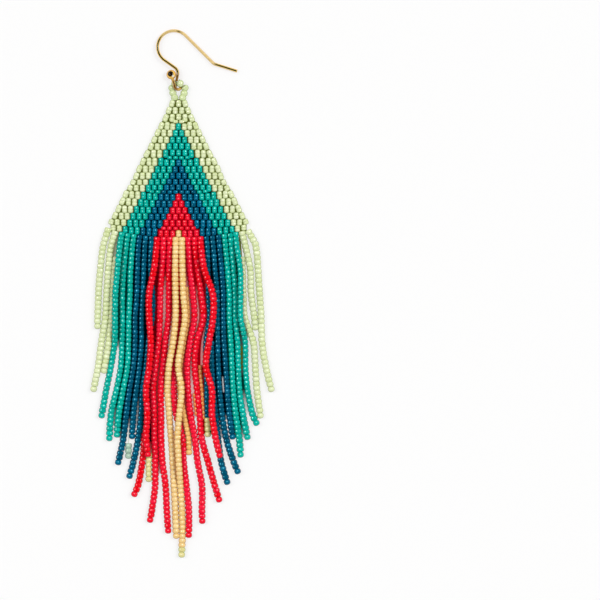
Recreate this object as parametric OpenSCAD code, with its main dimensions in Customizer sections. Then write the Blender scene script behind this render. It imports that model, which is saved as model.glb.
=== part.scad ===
// Beaded fringe earring, one of a pair, lying flat with its ear wire up the page.
// X runs across the earring, Y up its length and Z away from the table it lies on.
// The origin is the middle of the whole outline, on the table.

/* [Ear wire] */
// Thickness of the round ear wire
wire_d = 0.75; // [0.65:0.05:0.8]
// Diameter of the ball on the end of the wire
ball_d = 2.4; // [2.2:0.1:2.6]
// Radius of the big bend, at the middle of the wire
bend_r = 4.1; // [3.9:0.1:4.3]
// Radius of the small curve that passes the ball
neck_r = 1.75; // [1.7:0.05:1.8]
// Length of the straight between the big bend and the kink
shank_l = 10; // [8:0.5:12]
// Length of the straight tail beyond the kink
tail_l = 6.1; // [5:0.1:7]
// Radius of the wire ring that holds the beads
ring_r = 1.1; // [1.05:0.05:1.15]
// Lean of the wire ring, so that one side passes over the beads and the other under
ring_lean = 38; // [36:1:40]
// Tilt of the wire from the table, on its bend, its tail and its ball
wire_tilt = 5.6; // [5.2:0.1:6]

/* [Woven panel] */
// Thickness of the woven triangle
panel_t = 1.3; // [1.1:0.1:1.5]
// Height of one stitch of two beads
stitch_h = 1.6; // [1.4:0.1:1.7]
// Stitches of one colour in a row, from each edge inwards
band_n = 3; // [3:1:3]
// Gap between two colours, and between the panel and what hangs on it
gap = 0.12; // [0.08:0.01:0.16]

/* [Strands] */
// Diameter of a strand of seed beads
strand_d = 1.42; // [1.3:0.02:1.44]
// Diameter where the strands hang close together under the panel
crowded_d = 1.3; // [1.2:0.02:1.34]
// Diameter of a bare thread
thread_d = 0.3; // [0.2:0.05:0.3]
// Distance between the rings of a strand's tube
ring_step = 3.5; // [3:0.5:4]

/* [Hidden] */
GREEN = [0.83, 0.88, 0.62];
TEAL = [0.05, 0.68, 0.60];
BLUE = [0.03, 0.38, 0.55];
RED = [0.92, 0.05, 0.18];
STRAW = [0.95, 0.84, 0.56];
SAGE = [0.62, 0.75, 0.66];
GOLD = [0.85, 0.66, 0.36];
// Colours of the woven panel, from its edge inwards
BANDS = [
    ["panel_green", GREEN], ["panel_teal", TEAL], ["panel_blue", BLUE], ["panel_red", RED],
    ["panel_tan", STRAW]
];

// Middle line of the woven panel
axis_x = -0.95;
// Thickness that each round joint of the wire has over the wire itself
joint_extra = 0.06;
// Sides of a strand's tube, and the length and width of its narrowed end
sides = 8;
tip_l = 0.35;
tip_k = 0.6;
// Height at which the strands reach their full diameter, and where they are still crowded
full_y = 4;
crowded_y = 13;
// Length over which a strand climbs to pass over another one
ramp_l = 6;
// Height of the first crossing line of the strands, and the step to the next
station_y = 12;
station_dy = 6;

// Rows of the panel from the top: stitches across, height of the middle, rise of the ends, spacing
ROWS = [
    [3, 47.5, 0, 1.6], [4, 45.7, 0, 1.6], [5, 44.15, -0.2, 1.62], [6, 43, -0.2, 1.52], [7, 41.7, 0.2, 1.43],
    [8, 40, 0.15, 1.47], [9, 38.4, 0.05, 1.5], [10, 36.8, 0, 1.52], [11, 35.2, -0.3, 1.57],
    [12, 33.95, 0, 1.49], [13, 32.7, 0.25, 1.48], [14, 31, 0.15, 1.51], [15, 29.4, -0.1, 1.51],
    [16, 28, -0.4, 1.51], [17, 26.55, 0, 1.51], [18, 25.4, 0.6, 1.48], [19, 24, 0.9, 1.46],
    [20, 22.4, 0.6, 1.47], [21, 20.7, 0.5, 1.5], [22, 19.2, 0.2, 1.51], [23, 17.6, 0.2, 1.53],
    [24, 16.3, 0.9, 1.49], [25, 14.9, 2, 1.48]
];

// Bead loop at the top of the panel: x, y, height and radius, up one side and down the other
LOOP = [
    [-1.9, 48.5, 0.7, 0.7], [-2.2, 49.6, 0.7, 0.7], [-2.5, 50.6, 0.7, 0.7], [-2.6, 51.4, 0.7, 0.7],
    [-2.3, 52, 0.7, 0.7], [-1.8, 52.4, 0.8, 0.65], [-1.5, 52.5, 1.1, 0.15], [-1.1, 52.5, 1.6, 0.15],
    [-0.8, 52.5, 1.9, 0.65], [-0.3, 52.3, 2, 0.7], [0.3, 51.8, 1.4, 0.7], [0.7, 51.2, 0.8, 0.7],
    [0.5, 50.2, 0.7, 0.7], [0.2, 49.4, 0.7, 0.7], [0, 48.5, 0.7, 0.7]
];

// Strands from left to right in each colour: name, colour, top, height where the beads begin,
// x at each crossing line, lowest point. A strand whose beads begin lower hangs on bare thread.
STRANDS = [
    ["green_1", GREEN, [-18.5, 16.2], 16.2, [-19.75, -20.5, -20.95, -21.15], [-21.2, -8.9]],
    ["green_2", GREEN, [-16.8, 15.5], 15.5, [-17.8, -18.5, -18.9, -19.25, -20.2, -21], [-22.3, -24.6]],
    ["green_3", GREEN, [-15.9, 15.3], 9, [-16.2, -16.9, -17.3, -17.7, -18.4], [-19.7, -20]],
    ["green_4", GREEN, [14.1, 15.3], 9, [14.6, 15, 15.2, 15.6, 17.7, 18.2, 18.6], [19.6, -31.2]],
    ["green_5", GREEN, [14.9, 15.4], 15.4, [15.7, 16.95, 17.15, 18], [18.3, -9.2]],
    ["green_6", GREEN, [16.4, 15.7], 15.7, [18.3, 18.9, 19.3, 19.7, 19.9, 20.8], [22.4, -24.6]],
    ["teal_1", TEAL, [-15.1, 15.2], 15.2, [-15.6, -16.15, -16.7, -16.8, -16.9, -17.8, -19], [-20.3, -31.2]],
    ["teal_2", TEAL, [-13.6, 14.9], 14.9,
        [-14.05, -14.65, -15, -15, -15.1, -15.4, -16.5, -17.8], [-18.3, -36.9]],
    ["teal_3", TEAL, [-12.1, 14.7], 14.7,
        [-12.45, -12.95, -13.1, -13.4, -13.5, -13.7, -14.8, -15.9], [-16.4, -36]],
    ["teal_4", TEAL, [10.45, 14.7], 14.7,
        [10.75, 11.3, 11.7, 11.75, 12.1, 12.4, 12.7, 13.3, 14.2], [14.6, -41]],
    ["teal_5", TEAL, [11.95, 14.9], 14.9, [12.25, 12.8, 13.2, 13.25, 13.8, 14, 14.3, 15.1], [16.4, -36.6]],
    ["teal_6", TEAL, [13.35, 15.2], 15.2, [13.6, 14.5, 14.6, 14.6, 15.7, 15.8, 16.3, 17.5], [18.8, -33]],
    ["blue_1", BLUE, [-10.6, 14.5], 14.5,
        [-10.95, -11.2, -11.35, -11.8, -11.8, -12.2, -13.2, -14, -14.7], [-16.2, -42.9]],
    ["blue_2", BLUE, [-9.15, 14.3], 14.3,
        [-9.4, -9.65, -9.85, -10.15, -10.2, -10.7, -11.5, -12.2], [-12.6, -36.4]],
    ["blue_3", BLUE, [-7.7, 14.2], 14.2,
        [-7.8, -7.95, -7.4, -7.5, -8.5, -9.1, -10, -10.3, -11, -12.2], [-13.4, -46.3]],
    ["blue_4", BLUE, [6, 14.2], 14.2, [6.25, 6.4, 6.5, 6.75, 5.9, 5.9, 6.1, 6.3], [6.4, -35.9]],
    ["blue_5", BLUE, [7.5, 14.3], 14.3,
        [7.7, 8.15, 8.7, 8.75, 8.85, 9, 9.3, 9.9, 10.9, 12.8], [14.1, -45.1]],
    ["blue_6", BLUE, [9, 14.5], 14.5, [9.25, 9.8, 10.2, 10.2, 10.4, 10.8, 11.2, 11.7], [12.65, -36.5]],
    ["blue_7", BLUE, [6.75, 14.1], -12,
        [6.95, 7.25, 7.6, 7.7, 7.35, 7.4, 7.7, 8.3, 8.9, 9.7], [11.4, -47.8]],
    ["red_1", RED, [-6.3, 14], 14, [-6.4, -7.05, -8.25, -8.25, -7.85, -8.2, -9, -8.7, -9], [-8.5, -40.9]],
    ["red_2", RED, [-4.7, 14], 14,
        [-4.75, -5.15, -5.5, -5.65, -5.95, -6.7, -7.3, -7.1, -7, -6.8, -6.8, -7.6], [-8.2, -57.3]],
    ["red_3", RED, [-3.1, 14], 14,
        [-3.1, -3.3, -3.35, -3.45, -4.2, -4.8, -5.4, -5.3, -5.3, -5, -4.2, -3.9], [-3.5, -60]],
    ["red_4", RED, [-0.9, 13.9], 0.5,
        [-0.9, -0.9, -0.7, -0.7, -1.5, -2.2, -2.1, -1.6, 0, 0.3, 1, 1.6], [1.6, -61.1]],
    ["red_5", RED, [1.35, 14], 14, [1.4, 1.8, 2.6, 3, 1.9, 1.2, 1.4, 2, 3.1, 3.8, 4.9, 4.9], [5, -57.6]],
    ["red_6", RED, [2.95, 14], 14, [3.1, 3.9, 4.7, 5.25, 3.6, 3.1, 3.7, 4.3, 4.8, 6.4, 8.1], [9.4, -52.2]],
    ["red_7", RED, [4.5, 14.1], 14.1, [4.6, 5.5, 7.6, 7.7, 6.7, 5.9, 7.4, 7.4, 8.3], [9.5, -41.1]],
    ["red_8", RED, [-7, 14.1], -35,
        [-7.1, -7, -6.65, -6.75, -7.7, -8.3, -9.1, -9, -9.45, -10, -11.1], [-12.3, -50.8]],
    ["tan_1", STRAW, [-1.65, 13.9], 13.9,
        [-1.65, -1.75, -1.7, -1.7, -2.3, -3.3, -3.7, -3.3, -2.8, -2.4, -2.1, -1.8], [-1.5, -61.3]],
    ["tan_2", STRAW, [-0.1, 13.9], 13.9,
        [-0.1, 0.05, 0.25, 0.7, -0.2, -1, -0.2, -0.7, -1.2, -0.9, -0.5, -0.1, 0], [-0.2, -66]],
    ["tan_3", STRAW, [0.6, 13.9], 1.5, [0.6, 0.7, 0.9, 1.2, 0.3, -0.6, -0.6, 0.3, 1.5], [1.7, -40.4]],
    ["back_1", SAGE, [-9.9, 14.2], -37.6,
        [-10.2, -10.4, -10.65, -10.9, -11, -11.45, -12.4, -13.1, -13.4], [-13.5, -41.3]],
    ["back_2", STRAW, [-5.5, 13.9], -40,
        [-5.6, -6, -6.2, -6.35, -7, -7.5, -8.2, -7.9, -8.1, -8.4], [-8.4, -47.1]]
];

// Strands that pass over others: name, height where the climb ends, where it is left, lift
LIFTS = [
    ["teal_1", 9, -8, 1.5], ["teal_6", 9, -7, 1.4], ["red_1", 7, -42, 1.5],
    ["red_7", 8, -42, 1.5], ["tan_1", 9, -19, 1.5], ["tan_2", 9, -43, 1.5]
];

$fn = 48;

// Places on the ear wire, flat on the page before it is tilted
bend_c = [-2.1, 61.6];
neck_c = [-2.9, 55];
ball_c = [-2.76, 54.71, ball_d / 2];
ring_c = [-1.1, 52.1, 1.3];
elbow = [-1.45, 53.15, 1.3];
shank_a = 45;
tail_a = 17.4;
neck_end_a = -10;
shank_0 = bend_c + bend_r * [sin(shank_a), cos(shank_a)];
kink = shank_0 + shank_l * [cos(shank_a), -sin(shank_a)];
tail_tip = kink + tail_l * [cos(tail_a), -sin(tail_a)];
// Heading of the straight that touches both the big bend and the neck
cross_a = atan2(neck_c.y - bend_c.y, neck_c.x - bend_c.x) + asin((bend_r + neck_r) / norm(neck_c - bend_c));
cross_0 = bend_c + bend_r * [sin(cross_a), -cos(cross_a)];
cross_1 = neck_c + neck_r * [-sin(cross_a), cos(cross_a)];
neck_end = neck_c + neck_r * [cos(neck_end_a), sin(neck_end_a)];
// The wire tilts about the line through its two points on the table: the top of the bend and the tail
hinge_0 = [bend_c.x, bend_c.y + bend_r, wire_d / 2];
hinge_v = [tail_tip.x - hinge_0.x, tail_tip.y - hinge_0.y, 0];

function unit(v) = v / norm(v);
function smooth(t) = let (c = max(0, min(1, t))) c * c * (3 - 2 * c);

// A point of the flat wire, turned about the tilt line
function tilted(p) =
    let (a = unit(hinge_v), r = [p.x - hinge_0.x, p.y - hinge_0.y, 0])
    hinge_0 + r * cos(wire_tilt) - cross(a, r) * sin(wire_tilt) + a * (a * r) * (1 - cos(wire_tilt));

// A straight piece of wire between two points, and a round joint for where two pieces meet
module rod(p, q) {
    d = q - p;
    translate(p) rotate([0, acos(d.z / norm(d)), atan2(d.y, d.x)]) cylinder(h = norm(d), d = wire_d);
}

module joint(p) {
    translate(p) sphere(d = wire_d + joint_extra);
}

// A bent piece of wire: centre, radius, first angle and sweep
module arc(c, r, a, sweep) {
    translate([c.x, c.y, 0]) rotate([0, 0, a])
        rotate_extrude(angle = sweep) translate([r, 0]) circle(d = wire_d);
}

module flat_wire() {
    arc(bend_c, bend_r, 90 - shank_a, cross_a + 180 + shank_a);
    arc(neck_c, neck_r, neck_end_a, cross_a + 90 - neck_end_a);
    rod([shank_0.x, shank_0.y, 0], [kink.x, kink.y, 0]);
    rod([kink.x, kink.y, 0], [tail_tip.x, tail_tip.y, 0]);
    rod([cross_0.x, cross_0.y, 0], [cross_1.x, cross_1.y, 0]);
    for (p = [shank_0, kink, cross_0, cross_1]) joint([p.x, p.y, 0]);
}

module ear_hook() {
    ring_left = ring_c + ring_r * [-cos(ring_lean), 0, sin(ring_lean)];
    ring_top = ring_c + [0, ring_r, 0];
    color(GOLD) union() {
        translate(hinge_0) rotate(a = -wire_tilt, v = hinge_v)
            translate([-hinge_0.x, -hinge_0.y, 0]) flat_wire();
        joint(tilted(neck_end));
        rod(tilted(neck_end), elbow);
        joint(elbow);
        rod(elbow, ring_top);
        joint(ring_top);
        translate(ring_c) rotate([0, ring_lean, 0]) arc([0, 0], ring_r, -180, 270);
        joint(ring_left);
        rod(ring_left, ball_c);
        translate(ball_c) sphere(d = ball_d);
    }
}

// Places in the panel, measured from its middle line: row r, distance x from the line
function row_end(r) = (ROWS[r][0] - 1) / 2;
function row_y(r, x) = ROWS[r][1] + ROWS[r][2] * pow(x / (row_end(r) * ROWS[r][3]), 2);
function level(r, x) =
    r == 0 ? row_y(0, x) + stitch_h / 2 :
    r == len(ROWS) ? row_y(r - 1, x) - stitch_h / 2 : (row_y(r - 1, x) + row_y(r, x)) / 2;
// Outer edge of colour b in row r. The end stitches of the last row belong to the outer strands.
function edge_x(r, b) =
    max(0, (row_end(r) + 0.5 - b * band_n - (b == 0 && r == len(ROWS) - 1 ? 1 : 0)) * ROWS[r][3]);

// One half of a colour's band, a stepped strip that runs down beside the middle line
module half_band(b) {
    rows = [for (r = [0:len(ROWS) - 1]) if (edge_x(r, b) > 0) r];
    outer = [for (r = rows) let (x = edge_x(r, b) - gap / 2)
        each [[x, level(r, x) - gap / 2], [x, level(r + 1, x) - (r == len(ROWS) - 1 ? 0 : gap / 2)]]];
    inner = [for (i = [len(rows) - 1:-1:0]) let (
            r = rows[i],
            e = edge_x(r, b + 1),
            x = e > 0 ? e + gap / 2 : -gap)
        each [[x, level(r + 1, x) + (e > 0 && r < len(ROWS) - 1 ? gap / 2 : 0)],
            [x, level(r, x) + (e > 0 ? gap / 2 : -gap / 2)]]];
    linear_extrude(height = panel_t) polygon(concat(outer, inner));
}

module band(b) {
    color(BANDS[b][1]) translate([axis_x, 0, 0]) union() {
        half_band(b);
        mirror([1, 0, 0]) half_band(b);
    }
}

// A tube of flat-sided rings round a route of points, with a radius for each
module tube(route, radii) {
    n = len(route);
    rings = [for (i = [0:n - 1]) let (
            t = unit(route[min(i + 1, n - 1)] - route[max(i - 1, 0)]),
            s = unit(cross(t, [0, 0, 1])),
            u = cross(s, t))
        each [for (k = [0:sides - 1]) let (a = 360 * (k + 0.5) / sides)
            route[i] + radii[i] / cos(180 / sides) * (cos(a) * s + sin(a) * u)]];
    walls = [for (i = [0:n - 2], k = [0:sides - 1]) let (a = i * sides + k, b = i * sides + (k + 1) % sides)
        each [[a, b, b + sides], [a, b + sides, a + sides]]];
    ends = [[for (k = [sides - 1:-1:0]) k], [for (k = [0:sides - 1]) (n - 1) * sides + k]];
    polyhedron(points = rings, faces = concat(walls, ends), convexity = 4);
}

module bead_loop() {
    color(GREEN) tube([for (p = LOOP) [p.x, p.y, p.z]], [for (p = LOOP) p[3]]);
}

// A strand's route: the points [y, x] that it passes through
function stops(s) = concat([[s[2].y, s[2].x]],
    [for (i = [0:len(s[4]) - 1]) [station_y - i * station_dy, s[4][i]]], [[s[5].y, s[5].x]]);
// Slope of the route at stop i, the mean over its two neighbours
function slope(p, i) =
    let (a = p[max(i - 1, 0)], b = p[min(i + 1, len(p) - 1)]) (b[1] - a[1]) / (b[0] - a[0]);
// x of the route at height y: a cubic curve between the two stops on either side
function route_x(p, y, i = 0) =
    i < len(p) - 2 && y < p[i + 1][0] ? route_x(p, y, i + 1) :
    let (h = p[i + 1][0] - p[i][0], t = (y - p[i][0]) / h)
    (1 + 2 * t) * pow(1 - t, 2) * p[i][1] + t * pow(1 - t, 2) * h * slope(p, i) +
    t * t * (3 - 2 * t) * p[i + 1][1] - t * t * (1 - t) * h * slope(p, i + 1);
function bead_r(y) =
    (strand_d - (strand_d - crowded_d) * smooth((y - full_y) / (crowded_y - full_y))) / 2;
function lift(name, y) = max([0, for (l = LIFTS) if (l[0] == name)
    l[3] * smooth((l[1] + ramp_l - y) / ramp_l) * smooth((y - l[2] + ramp_l) / ramp_l)]);

function strand_ys(s) = let (
        top = s[2].y, start = s[3], end = s[5].y + tip_l,
        nt = max(1, ceil((top - start) / ring_step)), nb = ceil((start - end) / ring_step))
    concat(
        top > start ? [for (i = [0:nt - 1]) top + (start + tip_l - top) * i / nt, start + tip_l] : [],
        [for (i = [0:nb]) start + (end - start) * i / nb], [s[5].y]);
function strand_r(s, y) =
    y > s[3] ? thread_d / 2 : y < s[5].y + tip_l / 2 ? bead_r(y) * tip_k : bead_r(y);
function strand_point(s, y) =
    [route_x(stops(s), y), y, (y > s[3] ? thread_d / 2 : bead_r(y)) + lift(s[0], y)];

module strand(s) {
    ys = strand_ys(s);
    color(s[1]) tube([for (y = ys) strand_point(s, y)], [for (y = ys) strand_r(s, y)]);
}

ear_hook();
bead_loop();
for (b = [0:len(BANDS) - 1]) band(b);
for (s = STRANDS) strand(s);
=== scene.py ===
"""The looks of a beaded fringe earring that lies flat on a pale table.

Every bead is worked out with numpy, a whole string or band of beads at once. A bead is a short profile of
points, each a distance from the bead's hole and a place along it, turned about the line of the hole. The
routes of the strands and the rows of the woven triangle repeat the part's own tables. Lengths in the tables
are millimetres and the mesh points are metres.
"""

import bpy
import numpy as np
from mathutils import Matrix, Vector


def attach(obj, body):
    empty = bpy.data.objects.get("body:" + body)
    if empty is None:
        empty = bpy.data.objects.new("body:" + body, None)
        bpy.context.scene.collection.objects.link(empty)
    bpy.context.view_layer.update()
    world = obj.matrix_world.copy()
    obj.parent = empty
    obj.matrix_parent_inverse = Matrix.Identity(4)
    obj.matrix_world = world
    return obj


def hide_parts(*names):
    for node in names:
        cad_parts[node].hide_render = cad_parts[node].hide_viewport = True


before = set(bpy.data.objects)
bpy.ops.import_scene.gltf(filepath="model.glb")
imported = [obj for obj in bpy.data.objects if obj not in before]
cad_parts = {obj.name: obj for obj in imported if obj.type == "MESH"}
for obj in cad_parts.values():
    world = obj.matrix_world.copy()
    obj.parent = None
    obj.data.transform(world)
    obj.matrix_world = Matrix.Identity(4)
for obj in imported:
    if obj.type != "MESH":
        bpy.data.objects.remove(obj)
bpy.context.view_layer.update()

MM = 0.001
# The one source of chance, so that each run gives the same beads
chance = np.random.default_rng(26)

# The beads. A strand's are pressed together, so they are wider than they are high
STRAND_BEAD_W = {
    "green": 1.8, "teal": 1.88, "blue": 1.78, "red": 1.82, "straw": 1.8, "sage": 1.76, "amber": 1.5,
    "lime": 1.6,
}
STRAND_BEAD_H = 1.4
STRAND_PITCH = 1.13
LAST_BEAD_D = 1.56
LAST_BEAD_HALF_L = 0.82
PANEL_BEAD_W = 1.45
PANEL_BEAD_H = 1.3
LOOP_BEAD_W = 1.84
LOOP_BEAD_H = 1.45
LOOP_BEAD_HALF_L = 0.8
BEAD_SIDES = 10
# A bead whose hole rises more steeply than this stands upright
UPRIGHT = 0.9
# Share by which a strand's beads are narrower where the strands hang close together, for one strand or for
# all of a finish. It fades out over the stretch above SQUEEZE_END_Y
SQUEEZE = {"teal": 0.16, "blue": 0.16, "teal_1": 0.08}
SQUEEZE_END_Y = -34
SQUEEZE_FADE = 14
# How far a strand's first bead reaches above its start, and its lowest one into the turned bead at its end
HEAD_START = 0.2
TUCK = 0.1
# How far to each side of a bead its strand's direction is measured, and the share of the strand's slope by
# which the bead tips
DIRECTION_REACH = 0.4
BEAD_TIP = 0.4
# The thread: its end is hidden in the last bead, and it follows every sixth point of the strand's route
THREAD_D = 0.24
THREAD_SIDES = 6
THREAD_SHORT = 0.6
THREAD_STEP = 6

# Chance in a strand's beads: along it, across it and in direction, and the narrowest and longest as a share
PLACE_SPREAD = 0.01
SIDE_SPREAD = 0.012
TURN_SPREAD = 0.02
NARROWEST = 0.97
LONGEST = 1.06
# Chance in the triangle's stitches, and in the tone of any bead, whose middle value is MEAN_TONE
STITCH_SPREAD = 0.03
STITCH_TURN_SPREAD = 0.03
STITCH_NARROWEST = 0.96
TONE_SPREAD = 0.2
MEAN_TONE = 0.5

# Profiles of a bead, as shares of its radius and of half its length: one pressed between its neighbours, one
# at a strand's end with rounder ends, and one that is round at its front end and flat at its back end, where
# a second bead joins it in a stitch. All three have as many points
ROUND = np.array(((1, 0), (0.96, -0.58), (0.8, -0.96), (0.25, -1), (0.25, 1), (0.8, 0.96), (0.96, 0.58)))
LAST = np.array(((1, 0), (0.93, -0.45), (0.66, -0.86), (0.25, -1), (0.25, 1), (0.66, 0.86), (0.93, 0.45)))
STITCH = np.array(((1, -0.25), (0.93, -1), (0.2, -1), (0.2, 1), (0.56, 0.97), (0.84, 0.68), (0.96, 0.25)))

# The strands' shared measures, as the part has them. Stations are lines across the fringe, the first at
# STATION_Y and the others STATION_DY apart, and RAMP_L is the length of a climb
STRAND_D = 1.42
STATION_Y = 12
STATION_DY = 6
RAMP_L = 6
ROUTE_POINTS = 400

# Strands: name, finish, top, height where the beads begin, x at each station, lowest point
STRANDS = [
    ("green_1", "green", (-18.5, 16.2), 16.2, (-19.75, -20.5, -20.95, -21.15), (-21.2, -8.9)),
    ("green_2", "green", (-16.8, 15.5), 15.5, (-17.8, -18.5, -18.9, -19.25, -20.2, -21), (-22.3, -24.6)),
    ("green_3", "green", (-15.9, 15.3), 9, (-16.2, -16.9, -17.3, -17.7, -18.4), (-19.7, -20)),
    ("green_4", "green", (14.1, 15.3), 9, (14.6, 15, 15.2, 15.6, 17.7, 18.2, 18.6), (19.6, -31.2)),
    ("green_5", "green", (14.9, 15.4), 15.4, (15.7, 16.95, 17.15, 18), (18.3, -9.2)),
    ("green_6", "green", (16.4, 15.7), 15.7, (18.3, 18.9, 19.3, 19.7, 19.9, 20.8), (22.4, -24.6)),
    ("teal_1", "teal", (-15.1, 15.2), 15.2,
     (-15.6, -16.15, -16.7, -16.8, -16.9, -17.8, -19), (-20.3, -31.2)),
    ("teal_2", "teal", (-13.6, 14.9), 14.9,
     (-14.05, -14.65, -15, -15, -15.1, -15.4, -16.5, -17.8), (-18.3, -36.9)),
    ("teal_3", "teal", (-12.1, 14.7), 14.7,
     (-12.45, -12.95, -13.1, -13.4, -13.5, -13.7, -14.8, -15.9), (-16.4, -36)),
    ("teal_4", "teal", (10.45, 14.7), 14.7,
     (10.75, 11.3, 11.7, 11.75, 12.1, 12.4, 12.7, 13.3, 14.2), (14.6, -41)),
    ("teal_5", "teal", (11.95, 14.9), 14.9,
     (12.25, 12.8, 13.2, 13.25, 13.8, 14, 14.3, 15.1), (16.4, -36.6)),
    ("teal_6", "teal", (13.35, 15.2), 15.2, (13.6, 14.5, 14.6, 14.6, 15.7, 15.8, 16.3, 17.5), (18.8, -33)),
    ("blue_1", "blue", (-10.6, 14.5), 14.5,
     (-10.95, -11.2, -11.35, -11.8, -11.8, -12.2, -13.2, -14, -14.7), (-16.2, -42.9)),
    ("blue_2", "blue", (-9.15, 14.3), 14.3,
     (-9.4, -9.65, -9.85, -10.15, -10.2, -10.7, -11.5, -12.2), (-12.6, -36.4)),
    ("blue_3", "blue", (-7.7, 14.2), 14.2,
     (-7.8, -7.95, -7.4, -7.5, -8.5, -9.1, -10, -10.3, -11, -12.2), (-13.4, -46.3)),
    ("blue_4", "blue", (6, 14.2), 14.2, (6.25, 6.4, 6.5, 6.75, 5.9, 5.9, 6.1, 6.3), (6.4, -35.9)),
    ("blue_5", "blue", (7.5, 14.3), 14.3,
     (7.7, 8.15, 8.7, 8.75, 8.85, 9, 9.3, 9.9, 10.9, 12.8), (14.1, -45.1)),
    ("blue_6", "blue", (9, 14.5), 14.5, (9.25, 9.8, 10.2, 10.2, 10.4, 10.8, 11.2, 11.7), (12.65, -36.5)),
    ("blue_7", "blue", (6.75, 14.1), -12,
     (6.95, 7.25, 7.6, 7.7, 7.35, 7.4, 7.7, 8.3, 8.9, 9.7), (11.4, -47.8)),
    ("red_1", "red", (-6.3, 14), 14, (-6.4, -7.05, -8.25, -8.25, -7.85, -8.2, -9, -8.7, -9), (-8.5, -40.9)),
    ("red_2", "red", (-4.7, 14), 14,
     (-4.75, -5.15, -5.5, -5.65, -5.95, -6.7, -7.3, -7.1, -7, -6.8, -6.8, -7.6), (-8.2, -57.3)),
    ("red_3", "red", (-3.1, 14), 14,
     (-3.1, -3.3, -3.35, -3.45, -4.2, -4.8, -5.4, -5.3, -5.3, -5, -4.2, -3.9), (-3.5, -60)),
    ("red_4", "red", (-0.9, 13.9), 0.5,
     (-0.9, -0.9, -0.7, -0.7, -1.5, -2.2, -2.1, -1.6, 0, 0.3, 1, 1.6), (1.6, -61.1)),
    ("red_5", "red", (1.35, 14), 14, (1.4, 1.8, 2.6, 3, 1.9, 1.2, 1.4, 2, 3.1, 3.8, 4.9, 4.9), (5, -57.6)),
    ("red_6", "red", (2.95, 14), 14,
     (3.1, 3.9, 4.7, 5.25, 3.6, 3.1, 3.7, 4.3, 4.8, 6.4, 8.1), (9.4, -52.2)),
    ("red_7", "red", (4.5, 14.1), 14.1, (4.6, 5.5, 7.6, 7.7, 6.7, 5.9, 7.4, 7.4, 8.3), (9.5, -41.1)),
    ("red_8", "red", (-7, 14.1), -35,
     (-7.1, -7, -6.65, -6.75, -7.7, -8.3, -9.1, -9, -9.45, -10, -11.1), (-12.3, -50.8)),
    ("tan_1", "straw", (-1.65, 13.9), 13.9,
     (-1.65, -1.75, -1.7, -1.7, -2.3, -3.3, -3.7, -3.3, -2.8, -2.4, -2.1, -1.8), (-1.5, -61.3)),
    ("tan_2", "straw", (-0.1, 13.9), 13.9,
     (-0.1, 0.05, 0.25, 0.7, -0.2, -1, -0.2, -0.7, -1.2, -0.9, -0.5, -0.1, 0), (-0.2, -66)),
    ("tan_3", "straw", (0.6, 13.9), 1.5, (0.6, 0.7, 0.9, 1.2, 0.3, -0.6, -0.6, 0.3, 1.5), (1.7, -40.4)),
    ("back_1", "sage", (-9.9, 14.2), -37.6,
     (-10.2, -10.4, -10.65, -10.9, -11, -11.45, -12.4, -13.1, -13.4), (-13.5, -41.3)),
    ("back_2", "straw", (-5.5, 13.9), -40,
     (-5.6, -6, -6.2, -6.35, -7, -7.5, -8.2, -7.9, -8.1, -8.4), (-8.4, -47.1)),
]
# Strands that pass over others: height where the climb ends, height where they start to come down, lift
LIFTS = {
    "teal_1": (9, -8, 1.5), "teal_6": (9, -7, 1.4), "red_1": (7, -42, 1.5),
    "red_7": (8, -42, 1.5), "tan_1": (9, -19, 1.5), "tan_2": (9, -43, 1.5),
}

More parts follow.
